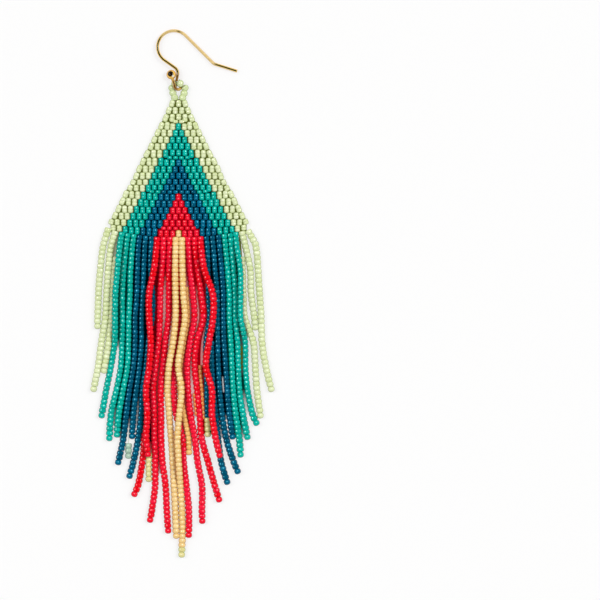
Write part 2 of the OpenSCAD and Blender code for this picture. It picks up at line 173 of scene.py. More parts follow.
# Neighbours that lie so close that the gap low between them is in shade, painted as a strip: left strand,
# right strand, tint, at some heights how much painted light gets down there, from 0 to 1, and, where the
# strip fills only a part of the gap, from which share of it to which
SHADES = [
    ("green_2", "green_3", "green", ((15, 0.3), (9, 0.4), (8, 0.4))),
    ("green_3", "teal_1", "green", ((15, 0.25), (9, 0.35), (-18, 0.45))),
    ("teal_6", "green_4", "green", ((14, 0), (-8, 0), (-11, 1))),
    ("teal_1", "teal_2", "teal", ((15, 0), (-11.5, 0), (-13.5, 0.9))),
    ("teal_2", "teal_3", "teal", ((15, 0), (-28, 0), (-33, 0.9))),
    ("teal_3", "blue_1", "blue", ((15, 0), (-34, 0), (-36, 0.6))),
    ("blue_1", "blue_2", "blue", ((15, 0), (-31, 0), (-33, 0.9))),
    ("blue_2", "blue_3", "blue", ((15, 0), (-26, 0), (-28, 0.4), (-33, 0.9))),
    ("blue_3", "red_2", "blue", ((15, 0), (-33, 0), (-36, 0.5))),
    ("red_1", "red_2", "red", ((15, 0), (-37, 0), (-41, 0.4))),
    ("red_1", "red_2", "blue", ((-21, 0), (-37, 0)), (0.36, 0.64)),
    ("red_2", "red_3", "red", ((15, 0), (5, 0), (2, 0.4), (-8, 0.45), (-12, 0.05), (-42, 0.1), (-45, 0.7))),
    ("red_3", "tan_1", "red",
     ((15, 0), (-3, 0.1), (-8, 0.5), (-11, 0.9), (-15, 0.9), (-20, 0.3), (-25, 0.9))),
    ("tan_1", "tan_2", "red", ((15, 0), (-10, 0))),
    ("tan_2", "red_5", "red", ((15, 0), (5, 0.1), (2, 0.3), (-6, 0.2), (-12, 0.05), (-33, 0.1), (-38, 1))),
    ("red_5", "red_6", "red",
     ((15, 0), (2, 0), (-2, 0.4), (-10, 0.4), (-14, 0.3), (-18, 0.4), (-22, 0.7), (-31, 0.9))),
    ("red_5", "red_6", "red", ((0, 0), (-10, 0.1), (-13, 0.2)), (0.5, 1)),
    ("red_6", "red_7", "red", ((15, 0), (4, 0))),
    ("red_6", "blue_4", "red", ((4, 0), (-35, 0))),
    ("red_6", "blue_4", "red", ((0, 0), (-5, 0.1), (-8, 0.3), (-18, 0.35)), (0.52, 0.76)),
    ("red_7", "blue_5", "blue", ((15, 0), (-12, 0))),
    ("blue_7", "blue_5", "blue", ((-12, 0), (-30.5, 0), (-32.5, 0.7), (-36, 0.9))),
    ("blue_4", "blue_7", "blue", ((-12, 0), (-35, 0))),
    ("blue_5", "blue_6", "blue", ((15, 0), (-30.2, 0), (-31.4, 1))),
    ("blue_5", "blue_6", "blue", ((-20.6, 0), (-21.2, 1), (-24.4, 1), (-24.8, 0)), (0.44, 0.57)),
    ("blue_6", "teal_4", "teal", ((15, 0), (-33, 0), (-36, 0.3))),
    ("teal_4", "teal_5", "teal", ((15, 0), (-33, 0), (-36, 0.9))),
    ("teal_5", "teal_6", "green", ((-13, 0), (-19, 0)), (0.35, 0.65)),
    ("teal_5", "teal_6", "teal",
     ((15, 0), (-9, 0), (-12, 0.1), (-18, 0.2), (-21, 0), (-24, 0), (-27, 0.7), (-30, 1))),
]
# How high the strips lie, how much higher those that fill only a part of their gap, and their points
SHADE_Z = 0.3
SHADE_DZ = 0.04
SHADE_POINTS = 60

# Beads that show only as a sliver between two strands: the strands, the share of the way between them, the
# finish and the heights of the first and last bead. They are small and lie low
PEEKS = [
    ("red_6", "blue_4", 0.47, "orange", -18.4, -31),
    ("red_5", "red_6", 0.66, "orange", -25.4, -30),
]
PEEK_W = 1.05
PEEK_Z = 0.45

# Beads at a strand's end that differ from the rest: their finish and the height where they begin
TIPS = {
    "blue_4": ("lime", -31),
    "tan_2": ("lime", -63.6),
    "tan_3": ("amber", 2),
    "back_2": ("lime", 2),
}

# Middle tone of the beads of one strand or of all of a finish, where they are deeper (0) or paler (1) than
# others
STRAND_TONES = {
    "blue": 0.1, "teal": 0.3,
    "red_1": 0.2, "red_4": 0.85, "red_5": 0.9, "red_6": 0.35, "red_7": 0.25, "red_8": 0, "tan_3": 0,
}

# The woven triangle: its middle line, the number of stitches across each colour, and its colours from the
# edge inwards, with the node and the finish of each
AXIS_X = -0.95
BAND_N = 3
BANDS = [
    ("panel_green", "green"), ("panel_teal", "teal"), ("panel_blue", "blue"), ("panel_red", "red"),
    ("panel_tan", "straw"),
]
# Its rows: stitches across, height, rise of the ends, spacing, beads in a stitch, and the last stitch that
# is there, counted from the middle
ROWS = [
    (3, 47.5, 0, 1.6, 2, 1), (4, 45.7, 0, 1.6, 2, 1.5), (5, 44.15, -0.2, 1.62, 2, 2),
    (6, 43, -0.2, 1.52, 1, 0.5), (7, 41.7, 0.2, 1.43, 2, 3), (8, 40, 0.15, 1.47, 2, 3.5),
    (9, 38.4, 0.05, 1.5, 2, 4), (10, 36.8, 0, 1.52, 2, 4.5), (11, 35.2, -0.3, 1.57, 2, 5),
    (12, 33.95, 0, 1.49, 1, 1.5), (13, 32.7, 0.25, 1.48, 2, 6), (14, 31, 0.15, 1.51, 2, 6.5),
    (15, 29.4, -0.1, 1.51, 2, 7), (16, 28, -0.4, 1.51, 2, 7.5), (17, 26.55, 0, 1.51, 2, 8),
    (18, 25.4, 0.6, 1.48, 1, 4.5), (19, 24, 0.9, 1.46, 2, 9), (20, 22.4, 0.6, 1.47, 2, 9.5),
    (21, 20.7, 0.5, 1.5, 2, 10), (22, 19.2, 0.2, 1.51, 2, 10.5), (23, 17.6, 0.2, 1.53, 2, 11),
    (24, 16.3, 0.9, 1.49, 1, 2.5), (25, 14.9, 2, 1.48, 2, 11),
]
# Half the height of a stitch of one bead and of two
STITCH_HALF_H = {1: 0.45, 2: 0.8}
# A stitch higher than PLAIN_STITCH_H stands with its lower bead further out, by a share of the extra height,
# and the outermost stitches follow the slanting edge, by a share of their height
PLAIN_STITCH_H = 1.75
LEAN = 0.4
EDGE_LEAN = 0.38
# Lengths of the beads as a share of the room they have, one alone and two in a stitch, which overlap
SINGLE_FILL = 0.97
DOUBLE_FILL = 1.1
STITCH_Z = 0.7
# The weave behind the stitches, thread whose dark colour is partly painted shade: its height, how far it
# reaches past a stitch's top and bottom, and how far from the middle of an end stitch it stops
WEB_Z = 0.45
WEB_OVER = 0.3
WEB_SHORT = 0.1

# Beads of the loop: x, y, height. Its thread also has two ends, in the top of the triangle
LOOP = np.array([
    (-1.93, 48.98, 0.78), (-2.35, 50.15, 0.78), (-2.58, 51.35, 0.78), (-1.95, 52.4, 0.8),
    (-0.5, 52.45, 1.95), (0.68, 51.35, 0.85), (0.43, 50.03, 0.78), (0.05, 48.95, 0.78)])
LOOP_ENDS = ((-1.7, 47.9, 0.65), (-0.2, 47.9, 0.65))

# The ear wire, flat on the page before it tilts
WIRE_D = 0.75
WIRE_SIDES = 20
WIRE_TILT = 5.6
BEND_C = np.array((-2.1, 61.6))
BEND_R = 4.1
NECK_C = np.array((-2.9, 55.0))
NECK_R = 1.75
NECK_END_A = -10
SHANK_A = 45
SHANK_L = 10
TAIL_A = 17.4
TAIL_L = 6.1
KINK_R = 1.2
ELBOW = np.array((-1.45, 53.15, 1.3))
RING_C = np.array((-1.1, 52.1, 1.3))
RING_R = 1.1
RING_LEAN = 38
RING_A = (75, -180)
BALL_D = 2.4
BALL_C = np.array((-2.76, 54.71, BALL_D / 2))
# Points along its tail, kink, bend, neck and ring
TAIL_POINTS = 20
KINK_POINTS = 8
BEND_POINTS = 60
NECK_POINTS = 30
RING_POINTS = 40
# Its tone at some of these points, counted from the tail, sets the reflection painted into its colour: the
# shank and the start of the bend are pale (0) but for one dark spot, most of the rest shows a painted
# reflection of the dark above it (1), and the ring has brown stretches (above 1)
WIRE_TONES = [
    (18, 1), (24, 0), (32, 0), (37, 0.9), (40, 0.1), (54, 0.2), (62, 1), (112, 1), (118, 1.3), (126, 1),
    (134, 1.4), (142, 1.1), (150, 1.4), (158, 1.2),
]

# Glass: painted shade at the rim, body, pale body and painted highlight of each finish, as screen colours
GLASS = {
    "green": ((174, 188, 114), (216, 228, 168), (234, 242, 200), (248, 252, 230)),
    "teal": ((0, 106, 94), (0, 170, 152), (0, 194, 178), (140, 240, 230)),
    "blue": ((0, 36, 54), (0, 78, 106), (0, 112, 150), (90, 190, 220)),
    "red": ((166, 0, 10), (244, 0, 20), (255, 26, 64), (255, 140, 150)),
    "straw": ((196, 132, 50), (244, 202, 122), (252, 222, 158), (255, 242, 206)),
    "amber": ((196, 118, 50), (246, 194, 116), (252, 212, 140), (255, 230, 176)),
    "lime": ((150, 176, 84), (228, 218, 146), (238, 228, 164), (250, 246, 210)),
    "orange": ((196, 60, 20), (242, 134, 66), (246, 166, 96), (255, 206, 156)),
    "sage": ((100, 138, 116), (162, 196, 174), (188, 214, 196), (220, 236, 220)),
    "loop": ((166, 186, 112), (210, 225, 166), (222, 234, 184), (240, 246, 218)),
}
# Thread, the weave and the strips low between strands, in a deep colour that is partly painted shade, and
# paler where painted light reaches them
THREAD_AND_SHADE_COLOURS = {
    "green": ((108, 116, 44), (236, 236, 226)),
    "teal": ((0, 60, 54), (224, 232, 230)),
    "blue": ((0, 12, 22), (228, 230, 234)),
    "red": ((180, 0, 18), (250, 222, 222)),
    "straw": ((176, 92, 24), (240, 180, 110)),
    "sage": ((206, 214, 198), (230, 230, 220)),
}
# How steeply up a surface faces where its painted shade or painted edge starts to give way, and where it has
# gone
GLASS_PAINTED_SHADE = (0.25, 0.75)
GOLD_PAINTED_EDGE = (0.2, 0.6)
# The same for the painted dark reflection at the top of the wire and, along a slanting direction, for the
# ball's
WIRE_PAINTED_DARK = (0.83, 0.93)
BALL_PAINTED_DARK = (0.7625, 0.8875)
BALL_PAINTED_DARK_WAY = (-0.1875, 0.1875, 1)
# How close to its direction a surface faces where a bead's painted highlight, or the ball's painted glare,
# starts and is full
PAINTED_HIGHLIGHT = (0.9825, 0.995)
PAINTED_HIGHLIGHT_FORWARD = 0.12
PAINTED_GLARE = (0.95, 0.9917)
PAINTED_GLARE_WAY = (0.4, -0.35, 0.85)
# Tones of the gold wire between which it turns brown
BROWN = (1, 1.5)

# The setting, in metres: a square of this width is seen from straight above, and the room is bright all
# round and dark straight above, so that metal reflects a dark middle and pale edges, as the gold's painted
# colours also show
VIEW_W = 0.15
VIEW_C = (0.0294, -0.0016)
TABLE_W = 3
TABLE_Z = -0.0001
TABLE_GREY = (142, 142, 142)
ROOM_SIDES = (190, 188, 184)
ROOM_TOP = (40, 40, 40)
ROOM_RISE = (0.35, 0.6)
# Lamps: name, direction towards them, width in degrees, strength, and whether glossy surfaces show them
LAMPS = [
    ("left", (-1, 0.3, 1.1), 30, 0.35, False),
    ("right", (1, 0.5, 1.1), 30, 0.5, False),
    ("overhead", (0, 0.05, 1), 140, 1.0, False),
    ("sparkle", (0.65, 0.25, 1), 8, 0.9, True),
    ("glint", (-0.6, 0.25, 1), 8, 0.7, True),
]


def linear(r, g, b):
    """A screen colour of 0 to 255 in each channel as Blender's linear colour."""
    c = np.array((r, g, b)) / 255
    return (*np.where(c < 0.04045, c / 12.92, ((c + 0.055) / 1.055) ** 2.4), 1)


class Value:
    """A shader socket that takes part in sums: an expression adds its own Math nodes."""

    def __init__(self, finish, socket):
        self.finish = finish
        self.socket = socket

    def maths(self, operation, *inputs):
        """A Math node with this operation and these inputs."""
        return self.finish.node("ShaderNodeMath", {"operation": operation}, dict(enumerate(inputs)))

    def out(self, key):
        """Another output of this socket's node."""
        return Value(self.finish, self.socket.node.outputs[key])

    def rise(self, low, high):
        """0 where this is low and 1 where it is high, in a straight line."""
        return (self - low) * (1 / (high - low))

    def __sub__(self, other):
        return self.maths("SUBTRACT", self, other)

    def __rsub__(self, other):
        return self.maths("SUBTRACT", other, self)

    def __mul__(self, other):
        return self.maths("MULTIPLY", self, other)

    __rmul__ = __mul__


class Finish:
    """The node tree of a material or a world."""

    def __init__(self, owner):
        self.owner = owner
        owner.use_nodes = True
        self.tree = owner.node_tree
        self.tree.nodes.clear()

    def node(self, kind, settings, sockets):
        """Adds a node of a kind: its settings first, then a value or a link for each socket given."""
        node = self.tree.nodes.new(kind)
        for key, value in settings.items():
            setattr(node, key, value)
        for key, value in sockets.items():
            if isinstance(value, Value):
                self.tree.links.new(value.socket, node.inputs[key])
            else:
                node.inputs[key].default_value = value
        return Value(self, node.outputs[0]) if node.outputs else None

    def tone(self):
        """The tone that the mesh carries at each point."""
        return self.node("ShaderNodeAttribute", {"attribute_name": "tone"}, {}).out("Fac")

    def facing(self):
        """The direction that the surface faces."""
        return self.node("ShaderNodeNewGeometry", {}, {}).out("Normal")

    def up(self, direction):
        """How steeply upwards a direction points, from -1 to 1."""
        return self.node("ShaderNodeSeparateXYZ", {}, {0: direction}).out("Z")

    def along(self, direction, way):
        """How far a direction points along another one: their dot product."""
        return self.node("ShaderNodeVectorMath", {"operation": "DOT_PRODUCT"},
                         {0: direction, 1: way}).out("Value")

    def mix(self, share, a, b):
        """Colour a where share is 0 and b where it is 1. Each is a screen colour or a value."""
        a, b = (c if isinstance(c, Value) else linear(*c) for c in (a, b))
        return self.node("ShaderNodeMix", {"data_type": "RGBA"}, {0: share, 6: a, 7: b}).out(2)

    def surface(self, **sockets):
        """Ends the tree with a Principled shader of these sockets."""
        named = {key.replace("_", " "): value for key, value in sockets.items()}
        shader = self.node("ShaderNodeBsdfPrincipled", {}, named)
        self.node("ShaderNodeOutputMaterial", {}, {"Surface": shader})
        return self.owner


def bead_glass(name, painted_shade_colour, body, pale, painted_highlight_colour):
    """Glossy glass: each bead has a tone of its own from body to pale, painted shade deepens the colour to
    the rim's where the bead turns away from above, and a painted highlight makes a small spot of its own
    colour, to the left in one bead and to the right in another."""
    glass = Finish(bpy.data.materials.new(name))
    tone = glass.tone()
    facing = glass.facing()
    up = glass.up(facing)
    # Painted shade: towards the sides, where the bead turns away from above, the colour turns to the rim's
    colour = glass.mix(up.rise(*GLASS_PAINTED_SHADE), painted_shade_colour, glass.mix(tone, body, pale))
    # Painted highlight: a spot of its own colour where the surface faces a direction that leans left or
    # right with the bead's tone
    lean = glass.node("ShaderNodeCombineXYZ", {}, {0: tone - MEAN_TONE, 1: PAINTED_HIGHLIGHT_FORWARD, 2: 1.0})
    way = glass.node("ShaderNodeVectorMath", {"operation": "NORMALIZE"}, {0: lean})
    painted_highlight_spot = glass.along(facing, way).rise(*PAINTED_HIGHLIGHT)
    # The painted highlight's colour also tints the glass's real reflections
    return glass.surface(Base_Color=glass.mix(painted_highlight_spot, colour, painted_highlight_colour), Roughness=0.12, IOR=1.7,
                         Specular_IOR_Level=0.5, Specular_Tint=linear(*painted_highlight_colour))


def gold_wire(name):
    """Polished gold wire whose reflections are painted into its colour: where its tone is 1 it shows a
    painted reflection of the dark above it, with yellow edges, where it is 0 the wire is pale all over, and
    above 1 it turns brown."""
    gold = Finish(bpy.data.materials.new(name))
    tone = gold.tone()
    up = gold.up(gold.facing())
    # Painted reflection: deep orange where the wire turns from above, yellow further up, and dark on top
    side = gold.mix(up.rise(*GOLD_PAINTED_EDGE), (190, 120, 34), (255, 216, 118))
    pale = gold.mix(up.rise(*GOLD_PAINTED_EDGE), (206, 150, 60), (238, 208, 142))
    painted_dark = gold.mix(up.rise(*WIRE_PAINTED_DARK), side, (44, 50, 8))
    brown = gold.mix(tone.rise(*BROWN), gold.mix(tone, pale, painted_dark), (120, 56, 10))
    return gold.surface(Base_Color=brown, Roughness=0.2, Metallic=0.15)


def gold_ball(name):
    """Polished gold ball whose reflections are painted into its colour: orange at its rim, bright further
    in, with a painted dark reflection off its top and one painted white glare."""
    gold = Finish(bpy.data.materials.new(name))
    facing = gold.facing()
    # Painted reflection and highlight: orange rim, bright ring, a dark patch off the top and one white glare
    side = gold.mix(gold.up(facing).rise(*GOLD_PAINTED_EDGE), (156, 74, 6), (255, 204, 96))
    painted_dark = gold.mix(gold.along(facing, BALL_PAINTED_DARK_WAY).rise(*BALL_PAINTED_DARK), side, (30, 12, 2))
    painted_glare_colour = gold.mix(gold.along(facing, PAINTED_GLARE_WAY).rise(*PAINTED_GLARE), painted_dark, (255, 252, 240))
    return gold.surface(Base_Color=painted_glare_colour, Roughness=0.15, Metallic=0.1)


def thread_and_painted_shade(name, deep, pale):
    """Dull thread of a deep colour, paler where more painted light reaches it, and glowing a little by
    itself, which is painted light too.
    """
    thread = Finish(bpy.data.materials.new(name))
    colour = thread.mix(thread.tone(), deep, pale)
    # Painted light: the thread glows a little in its own colour
    return thread.surface(Base_Color=colour, Roughness=0.9, Specular_IOR_Level=0.0, Emission_Color=colour,
                          Emission_Strength=0.3)


def plain(name, colour, roughness, specular=0.5, glow=0.0):
    """One colour all over, which can also shine white by itself."""
    return Finish(bpy.data.materials.new(name)).surface(
        Base_Color=linear(*colour), Roughness=roughness, Specular_IOR_Level=specular,
        Emission_Color=linear(255, 255, 255), Emission_Strength=glow)


FINISHES = {name: bead_glass(name + "_glass", *colours) for name, colours in GLASS.items()}
THREAD_AND_SHADE = {name: thread_and_painted_shade(name + "_thread_and_shade", *colours) for name, colours in THREAD_AND_SHADE_COLOURS.items()}
GOLD = gold_wire("gold")
GOLD_BALL = gold_ball("gold_ball")
PALE_THREAD = plain("pale_thread", (170, 150, 120), 0.7)


def smooth(t):
    """0 below 0, 1 above 1 and a soft step between."""
    c = np.clip(t, 0, 1)
    return c * c * (3 - 2 * c)


def unit(v):
    """Rows of v at length 1."""
    return v / np.linalg.norm(v, axis=-1, keepdims=True)


def grid_faces(rows, columns, wrap_rows):
    """Corner numbers of the squares of a grid whose columns close up, and whose rows do where told."""
    last = rows if wrap_rows else rows - 1
    i, j = np.meshgrid(np.arange(last), np.arange(columns), indexing="ij")
    i2, j2 = (i + 1) % rows, (j + 1) % columns
    corners = (i * columns + j, i * columns + j2, i2 * columns + j2, i2 * columns + j)
    return np.stack(corners, axis=-1).reshape(-1, 4)


def beads(centre, axis, radius, half_l, profile=ROUND, flat=1.0):
    """Points and squares of beads, one for each row of centre and axis: each point of the profile is turned
    about the bead's axis, so point = centre + place along * axis + distance * turned direction. Flat is the
    height of the beads as a share of their width."""
    axis = unit(axis)
    upright = np.abs(axis[:, 2:]) > UPRIGHT
    side = unit(np.cross(axis, np.where(upright, (0.0, 1.0, 0.0), (0.0, 0.0, 1.0))))
    third = np.cross(side, axis)
    turn = np.linspace(0, 2 * np.pi, BEAD_SIDES, endpoint=False)[None, :, None]
    around = np.cos(turn) * side[:, None] + flat * np.sin(turn) * third[:, None]
    radius = np.broadcast_to(radius, len(centre))
    half_l = np.broadcast_to(half_l, len(centre))
    out = profile[:, 0] * radius[:, None]
    along = profile[:, 1] * half_l[:, None]
    points = (centre[:, None, None] + along[:, :, None, None] * axis[:, None, None]
              + out[:, :, None, None] * around[:, None])
    one = grid_faces(len(profile), BEAD_SIDES, True)
    step = len(profile) * BEAD_SIDES
    faces = one[None] + step * np.arange(len(centre))[:, None, None]
    return points.reshape(-1, 3), faces.reshape(-1, 4)


def tube(path, radius, sides, point_r=0.02):
    """Points and squares of a round tube: at each point of the path a ring of sides points, square to the
    path's direction there. At its ends it is drawn in to the radius point_r, which is almost a point."""
    path = np.asarray(path, float)
    path = np.concatenate((path[:1], path, path[-1:]))
    radius = np.concatenate(([point_r], np.broadcast_to(radius, len(path) - 2), [point_r]))
    ahead = np.concatenate((path[2:], path[-1:], path[-1:]))
    behind = np.concatenate((path[:1], path[:1], path[:-2]))
    way = unit(ahead - behind)
    side = unit(np.cross(way, (0.0, 0.0, 1.0)))
    third = np.cross(side, way)
    turn = np.linspace(0, 2 * np.pi, sides, endpoint=False)[None, :, None]
    ring = np.cos(turn) * side[:, None] + np.sin(turn) * third[:, None]
    points = path[:, None] + radius[:, None, None] * ring
    return points.reshape(-1, 3), grid_faces(len(path), sides, False)[:, ::-1]


def ball(centre, radius, rings=24, sides=32, pole_gap=0.01):
    """Points and squares of a ball: rings at even angles from just off one pole to just off the other."""
    lift = np.linspace(-np.pi / 2 + pole_gap, np.pi / 2 - pole_gap, rings)
    turn = np.linspace(0, 2 * np.pi, sides, endpoint=False)
    x = np.cos(lift)[:, None] * np.cos(turn)
    y = np.cos(lift)[:, None] * np.sin(turn)
    z = np.broadcast_to(np.sin(lift)[:, None], x.shape)
    return centre + radius * np.stack((x, y, z), -1).reshape(-1, 3), grid_faces(rings, sides, False)


def build(name, parts, nodes):
    """Joins parts, each of (points in mm, squares, material, tone of each point), into one smooth piece that
    stands for the named nodes."""
    points, faces, index, tones, materials = [], [], [], [], []
    count = 0
    for part_points, part_faces, material, tone in parts:
        if material not in materials:
            materials.append(material)
        points.append(part_points * MM)
        faces.append(part_faces + count)
        index.append(np.full(len(part_faces), materials.index(material)))
        tones.append(np.broadcast_to(tone, len(part_points)))
        count += len(part_points)
    points, faces = np.concatenate(points), np.concatenate(faces)
    mesh = bpy.data.meshes.new(name)
    mesh.vertices.add(len(points))
    mesh.vertices.foreach_set("co", points.astype(np.float32).ravel())
    mesh.loops.add(faces.size)
    mesh.loops.foreach_set("vertex_index", faces.astype(np.int32).ravel())
    mesh.polygons.add(len(faces))
    mesh.polygons.foreach_set("loop_start", np.arange(0, faces.size, 4, dtype=np.int32))
    mesh.polygons.foreach_set("material_index", np.concatenate(index).astype(np.int32))
    mesh.polygons.foreach_set("use_smooth", np.ones(len(faces), bool))
    tone = mesh.attributes.new("tone", "FLOAT", "POINT")
    tone.data.foreach_set("value", np.concatenate(tones).astype(np.float32))
    for material in materials:
        mesh.materials.append(material)
    mesh.update(calc_edges=True)
    mesh.validate()
    piece = bpy.data.objects.new(name, mesh)
    bpy.context.collection.objects.link(piece)
    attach(piece, "root")
    if nodes:
        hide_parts(*nodes)


def tones_of(count, middle=MEAN_TONE):
    """A tone of its own for each of count beads, near the middle one, the same at all the bead's points."""
    tone = np.clip(chance.normal(middle, TONE_SPREAD, count), 0, 1)
    return np.repeat(tone, len(ROUND) * BEAD_SIDES)


def of_strand(table, name, finish, usual):
    """A strand's own entry in a table, or else that of its finish, or else the usual value."""
    return table.get(name, table.get(finish, usual))


def route(top, stations, end):
    """The strand's middle line: x as a cubic curve of y between the stops, whose slope at a stop is the mean
    over its two neighbours."""
    between = [(STATION_Y - i * STATION_DY, x) for i, x in enumerate(stations)]
    stops = np.array([top[::-1], *between, end[::-1]])
    ahead = np.r_[stops[1:], stops[-1:]]
    behind = np.r_[stops[:1], stops[:-1]]
    slope = (ahead[:, 1] - behind[:, 1]) / (ahead[:, 0] - behind[:, 0])
    y = np.linspace(top[1], end[1], ROUTE_POINTS)
    i = np.clip(np.searchsorted(-stops[:, 0], -y, side="right") - 1, 0, len(stops) - 2)
    h = stops[i + 1, 0] - stops[i, 0]
    t = (y - stops[i, 0]) / h
    x = ((1 + 2 * t) * (1 - t) ** 2 * stops[i, 1] + t * (1 - t) ** 2 * h * slope[i]
         + t * t * (3 - 2 * t) * stops[i + 1, 1] - t * t * (1 - t) * h * slope[i + 1])
    return x, y


def lift_of(name, y):
    """How far a strand is raised at heights y: up a soft ramp to where it passes over others, and down one
    behind them."""
    if name not in LIFTS:
        return np.zeros_like(y)
    high, low, lift = LIFTS[name]
    return lift * smooth((high + RAMP_L - y) / RAMP_L) * smooth((y - low + RAMP_L) / RAMP_L)


def strand(name, finish, top, start, stations, end):
    """A strand: beads threaded at even steps down its route, the last one turned across it, and the thread,
    which lies low where it has no beads yet."""
    x, y = route(top, stations, end)
    lift = lift_of(name, y)
    line = np.stack((x, y, STRAND_D / 2 + lift), -1)
    length = np.concatenate(([0], np.cumsum(np.linalg.norm(np.diff(line, axis=0), axis=1))))

    def at(s):
        """Points of the line at these lengths along it."""
        return np.stack([np.interp(s, length, line[:, k]) for k in range(3)], -1)

    # The beads share out the room between the strand's start and its last bead
    first = np.interp(-start, -y, length) - HEAD_START
    run = length[-1] - LAST_BEAD_D + TUCK - first
    count = int(round(run / STRAND_PITCH))
    pitch = run / count
    place = first + pitch * (np.arange(count) + 0.5) + chance.normal(0, PLACE_SPREAD, count)
    centre = at(place)
    centre[:, 0] += chance.normal(0, SIDE_SPREAD, count)
    axis = unit(at(place + DIRECTION_REACH) - at(place - DIRECTION_REACH)) * (1, 1, BEAD_TIP)
    axis = axis + chance.normal(0, TURN_SPREAD, (count, 3))

    tip_finish, tip_y = TIPS.get(name, (finish, end[1]))
    width = STRAND_BEAD_W[tip_finish if tip_y > start else finish]
    squeeze = of_strand(SQUEEZE, name, finish, 0) * smooth((centre[:, 1] - SQUEEZE_END_Y) / SQUEEZE_FADE)
    radius = width / 2 * (1 - squeeze) * chance.uniform(NARROWEST, 1, count)
    half_l = pitch / 2 * chance.uniform(1, LONGEST, count)
    middle = of_strand(STRAND_TONES, name, finish, MEAN_TONE)

    thread_z = np.where(y > start, THREAD_D / 2 + lift, line[:, 2])
    thread = np.stack((x, y, thread_z), -1)[y > end[1] + THREAD_SHORT][::THREAD_STEP]
    parts = [(*tube(thread, THREAD_D / 2, THREAD_SIDES), THREAD_AND_SHADE[finish], 0.0)]
    in_tip = centre[:, 1] < tip_y
    for mine, glass in ((~in_tip, finish), (in_tip, tip_finish)):
        if mine.any():
            shape = beads(centre[mine], axis[mine], radius[mine], half_l[mine], flat=STRAND_BEAD_H / width)
            parts.append((*shape, FINISHES[glass], tones_of(mine.sum(), middle)))
    last = at(length[-1:] - LAST_BEAD_D / 2)
    across = np.cross(unit(axis[-1:]), (0.0, 0.0, 1.0))
    shape = beads(last, across, LAST_BEAD_D / 2, LAST_BEAD_HALF_L, LAST, STRAND_BEAD_H / LAST_BEAD_D)
    parts.append((*shape, FINISHES[tip_finish], MEAN_TONE))
    build("strand_" + name, parts, [name])


def row_y(row, x):
    """Height of a row's middle at distance x from the triangle's middle line: a parabola whose ends are the
    row's rise higher."""
    count, y, rise, spacing = ROWS[row][:4]
    return y + rise * (x / ((count - 1) / 2 * spacing)) ** 2


def border(row, other, x):
    """Height of the border between two rows at distance x: the gap shared out by their stitches' heights."""
    a = STITCH_HALF_H[ROWS[row][4]]
    b = STITCH_HALF_H[ROWS[other][4]]
    return row_y(row, x) + (row_y(other, x) - row_y(row, x)) * a / (a + b)


def row_edge(row, x, step):
    """Height of a row's upper edge (step -1) or lower edge (step 1) at distance x: its border with the next
    row. Beyond the ends of a short row of single beads, the row past it is the next one."""
    other = row + step
    if not 0 <= other < len(ROWS):
        return row_y(row, x) - step * STITCH_HALF_H[ROWS[row][4]]
    spacing, per_stitch, reach = ROWS[other][3:]
    near = border(row, other, x)
    if per_stitch == 2:
        return near
    return np.where(np.abs(x) < (reach + 0.5) * spacing, near, border(row, other + step, x))


def row_stitches(row):
    """The stitches of one row: distance from the middle line, middle height, height, spacing, beads in it,
    whether it is an end one, and the number of its colour band, counted from the edge."""
    count, _, _, spacing, per_stitch, reach = ROWS[row]
    i = np.arange(-reach, reach + 0.5)
    x = i * spacing
    top = row_edge(row, x, -1)
    bottom = row_edge(row, x, 1)
    end = (count - 1) / 2
    band = np.floor((end - np.abs(i)) / BAND_N)
    return np.stack((x, (top + bottom) / 2, top - bottom, np.full_like(x, spacing),
                     np.full_like(x, per_stitch), np.abs(i) > end - 0.5, band), -1)


def web(x, y, height, spacing, is_end):
    """Squares of the dark weave behind the stitches, one for each and as wide as the spacing: thread,
    darkened by painted shade. At an end stitch the outer half is left out."""
    outer = np.where(is_end > 0, -WEB_SHORT, spacing / 2)
    left = np.where(x < 0, -outer, -spacing / 2)
    right = np.where(x > 0, outer, spacing / 2)
    half = height / 2 + WEB_OVER
    corners = ((left, -half), (right, -half), (right, half), (left, half))
    z = np.full_like(x, WEB_Z)
    points = np.stack([np.stack((AXIS_X + x + dx, y + dy, z), -1) for dx, dy in corners], 1)
    return points.reshape(-1, 3), np.arange(len(x) * 4).reshape(-1, 4)


def shade():
    """What lies low between neighbouring strands: strips of painted shade, where a real fringe is too deep
    for light to reach, and the beads that show only as a sliver."""
    routes = {name: route(top, stations, end) for name, _, top, _, stations, end in STRANDS}

    def gap(left, right, share, y, z):
        """Points at a share of the way from one strand's route to the other's, at the same y."""
        x1, x2 = (np.interp(-y, -routes[name][1], routes[name][0]) for name in (left, right))
        return np.stack((x1 + share * (x2 - x1), y, np.full_like(y, z)), -1)

    parts = []
    # Each strip is painted shade, deep where its tone is 0 and paler where more painted light reaches it
    for left, right, tint, light, *part in SHADES:
        at, tone = np.array(light).T
        y = np.linspace(at[0], at[-1], SHADE_POINTS)
        z = SHADE_Z + (SHADE_DZ if part else 0)
        shares = part[0] if part else (0, 1)
        points = np.stack([gap(left, right, share, y, z) for share in shares], 1)
        i = 2 * np.arange(SHADE_POINTS - 1)
        parts.append((points.reshape(-1, 3), np.stack((i, i + 2, i + 3, i + 1), -1), THREAD_AND_SHADE[tint],
                      np.repeat(np.interp(-y, -at, tone), 2)))
    for left, right, share, finish, high, low in PEEKS:
        y = np.arange(high, low, -STRAND_PITCH)
        centre = gap(left, right, share, y, PEEK_Z)
        shape = beads(centre, np.gradient(centre, axis=0), PEEK_W / 2, STRAND_PITCH / 2)
        parts.append((*shape, FINISHES[finish], tones_of(len(y))))
    build("fringe_shade", parts, [])


